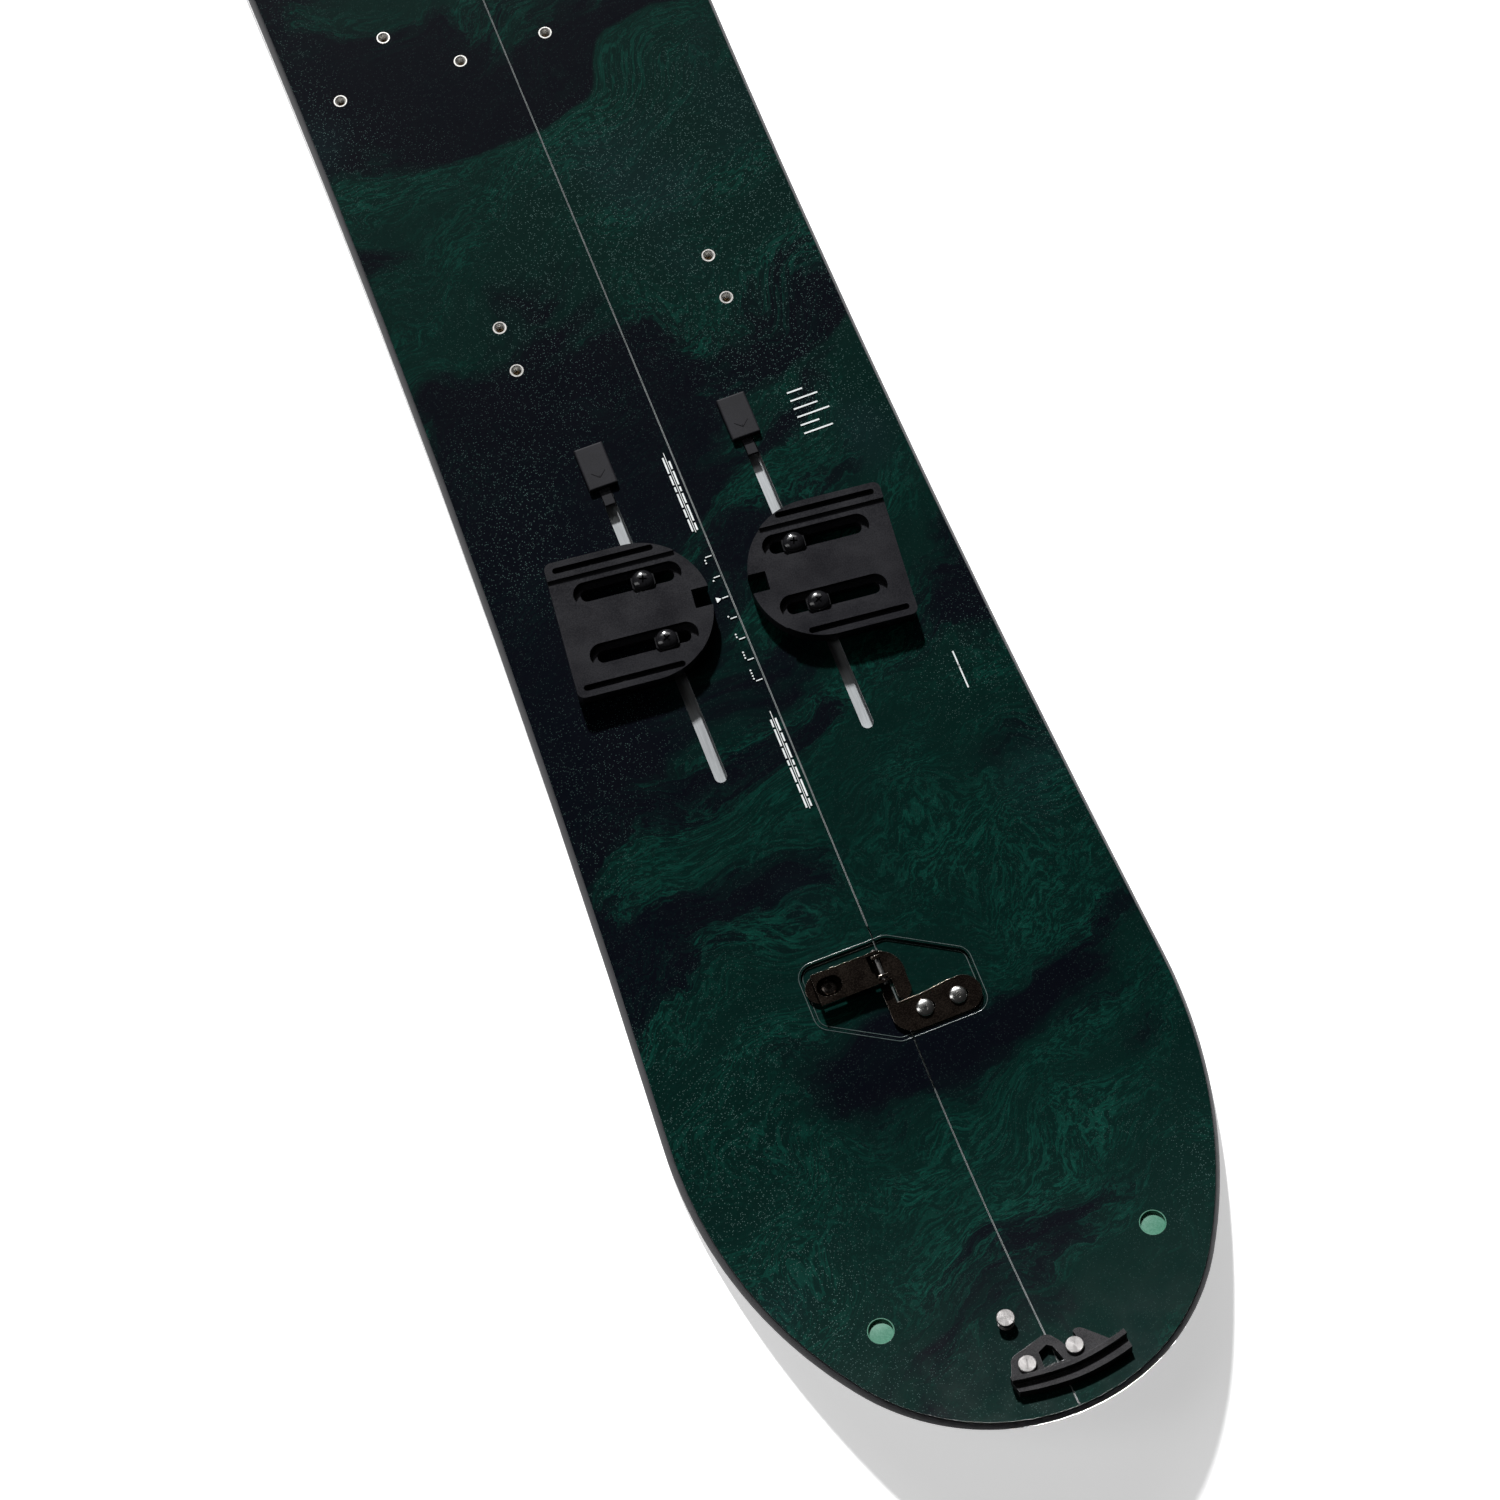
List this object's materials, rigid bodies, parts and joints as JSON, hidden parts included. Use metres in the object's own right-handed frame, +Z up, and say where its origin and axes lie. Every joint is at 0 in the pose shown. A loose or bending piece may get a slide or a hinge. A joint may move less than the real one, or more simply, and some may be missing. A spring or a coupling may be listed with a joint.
{
  "type": "splitboard",
  "caption": "Splitboard locked in ride mode: two half boards with edges, sliding binding pucks, seam hooks with levers and swinging tip and tail clips.",
  "frame": {"origin": "on the floor below the middle of the board's length, on the seam", "axes": "+Y towards the nose, +X towards the right half, +Z up"},
  "size_m": [0.297, 1.564, 0.0649],
  "materials": {
    "topsheet": "satin gloss, near black with marbled dark green",
    "core_wood": "lengthwise laminated",
    "base_plastic": "sintered, stone ground",
    "edge_steel": "ground",
    "sidewall_plastic": "satin",
    "insert_steel": "turned",
    "hole_plug_plastic": "smooth",
    "track_aluminium": "satin anodised",
    "screw_black": "black oxide, glossy",
    "washer_black": "black oxide",
    "nut_steel": "plain",
    "puck_plastic": "moulded, fine grain",
    "plug_rubber": "matt",
    "hook_steel": "dark brown black, polished",
    "pin_steel": "turned",
    "socket_screw_steel": "black oxide",
    "screw_steel": "domed, bright",
    "clip_plastic": "moulded, speckled"
  },
  "bodies": {
    "left_ski": {"left_base": "base_plastic", "left_steel_edge": "edge_steel", "left_core": "core_wood", "left_sidewall": "sidewall_plastic", "left_topsheet": "topsheet", "left_inserts": "insert_steel", "left_skin_hole_plugs": "hole_plug_plastic", "rear_left_track": "track_aluminium", "rear_hook_plate": "hook_steel", "rear_hinge_pin": "pin_steel", "rear_lever_side_screws": "socket_screw_steel", "rear_pivot_pin": "pin_steel", "rear_stow_pin": "pin_steel", "front_left_track": "track_aluminium", "front_catch_plate": "hook_steel", "front_catch_screws": "screw_steel", "front_catch_pin": "pin_steel"},
    "right_ski": {"right_base": "base_plastic", "right_steel_edge": "edge_steel", "right_core": "core_wood", "right_sidewall": "sidewall_plastic", "right_topsheet": "topsheet", "right_inserts": "insert_steel", "right_skin_hole_plugs": "hole_plug_plastic", "rear_right_track": "track_aluminium", "rear_catch_plate": "hook_steel", "rear_catch_screws": "screw_steel", "rear_catch_pin": "pin_steel", "front_right_track": "track_aluminium", "front_hook_plate": "hook_steel", "front_hinge_pin": "pin_steel", "front_lever_side_screws": "socket_screw_steel", "front_pivot_pin": "pin_steel", "front_stow_pin": "pin_steel"},
    "rear_left_clamp": {"rear_left_puck_screws": "screw_black", "rear_left_puck_washers": "washer_black", "rear_left_puck_channel_nuts": "nut_steel"},
    "rear_left_puck": {"rear_left_puck": "puck_plastic"},
    "rear_left_plug": {"rear_left_channel_plug": "plug_rubber"},
    "rear_right_clamp": {"rear_right_puck_screws": "screw_black", "rear_right_puck_washers": "washer_black", "rear_right_puck_channel_nuts": "nut_steel"},
    "rear_right_puck": {"rear_right_puck": "puck_plastic"},
    "rear_right_plug": {"rear_right_channel_plug": "plug_rubber"},
    "rear_lever": {"rear_hook_lever": "hook_steel"},
    "rear_clip": {"rear_clip": "clip_plastic"},
    "front_left_clamp": {"front_left_puck_screws": "screw_black", "front_left_puck_washers": "washer_black", "front_left_puck_channel_nuts": "nut_steel"},
    "front_left_puck": {"front_left_puck": "puck_plastic"},
    "front_left_plug": {"front_left_channel_plug": "plug_rubber"},
    "front_right_clamp": {"front_right_puck_screws": "screw_black", "front_right_puck_washers": "washer_black", "front_right_puck_channel_nuts": "nut_steel"},
    "front_right_puck": {"front_right_puck": "puck_plastic"},
    "front_right_plug": {"front_right_channel_plug": "plug_rubber"},
    "front_lever": {"front_hook_lever": "hook_steel"},
    "front_clip": {"front_clip": "clip_plastic"}
  },
  "joints": [
    {"name": "skis_apart", "type": "slide", "parent": "left_ski", "child": "right_ski", "axis": [1, 0, 0], "range_m": [0, 0.3]},
    {"name": "rear_left_stance_slide", "type": "slide", "parent": "left_ski", "child": "rear_left_clamp", "axis": [0, 1, 0.007], "range_m": [-0.0506, 0.0253]},
    {"name": "rear_left_puck_centring", "type": "slide", "parent": "rear_left_clamp", "child": "rear_left_puck", "axis": [0.9945, -0.1045, -0.0007], "range_m": [-0.0095, 0.006]},
    {"name": "rear_left_plug_lift", "type": "slide", "parent": "left_ski", "child": "rear_left_plug", "axis": [0, -0.007, 1], "range_m": [0, 0.02]},
    {"name": "rear_right_stance_slide", "type": "slide", "parent": "right_ski", "child": "rear_right_clamp", "axis": [0, 1, 0.007], "range_m": [-0.0506, 0.0253]},
    {"name": "rear_right_puck_centring", "type": "slide", "parent": "rear_right_clamp", "child": "rear_right_puck", "axis": [-0.9945, 0.1045, 0.0007], "range_m": [-0.0095, 0.006]},
    {"name": "rear_right_plug_lift", "type": "slide", "parent": "right_ski", "child": "rear_right_plug", "axis": [0, -0.007, 1], "range_m": [0, 0.02]},
    {"name": "rear_lever_hinge", "type": "hinge", "parent": "left_ski", "child": "rear_lever", "pos_m": [-0.003, -0.53655, 0.01347], "axis": [0, 0.9999, 0.0128], "range_deg": [0, 115]},
    {"name": "rear_clip_swing", "type": "hinge", "parent": "left_ski", "child": "rear_clip", "pos_m": [-0.0152, -0.754, 0.04209], "axis": [0, -0.4036, -0.9149], "range_deg": [0, 100]},
    {"name": "front_left_stance_slide", "type": "slide", "parent": "left_ski", "child": "front_left_clamp", "axis": [0, 1, -0.0065], "range_m": [-0.0253, 0.0506]},
    {"name": "front_left_puck_centring", "type": "slide", "parent": "front_left_clamp", "child": "front_left_puck", "axis": [0.9945, 0.1045, -0.0007], "range_m": [-0.0095, 0.006]},
    {"name": "front_left_plug_lift", "type": "slide", "parent": "left_ski", "child": "front_left_plug", "axis": [0, 0.0065, 1], "range_m": [0, 0.02]},
    {"name": "front_right_stance_slide", "type": "slide", "parent": "right_ski", "child": "front_right_clamp", "axis": [0, 1, -0.0065], "range_m": [-0.0253, 0.0506]},
    {"name": "front_right_puck_centring", "type": "slide", "parent": "front_right_clamp", "child": "front_right_puck", "axis": [-0.9945, -0.1045, 0.0007], "range_m": [-0.0095, 0.006]},
    {"name": "front_right_plug_lift", "type": "slide", "parent": "right_ski", "child": "front_right_plug", "axis": [0, 0.0065, 1], "range_m": [0, 0.02]},
    {"name": "front_lever_hinge", "type": "hinge", "parent": "right_ski", "child": "front_lever", "pos_m": [0.003, 0.48605, 0.01343], "axis": [0, -0.9999, 0.0129], "range_deg": [0, 115]},
    {"name": "front_clip_swing", "type": "hinge", "parent": "right_ski", "child": "front_clip", "pos_m": [0.0152, 0.754, 0.051], "axis": [0, 0.3863, -0.9224], "range_deg": [0, 100]}
  ]
}
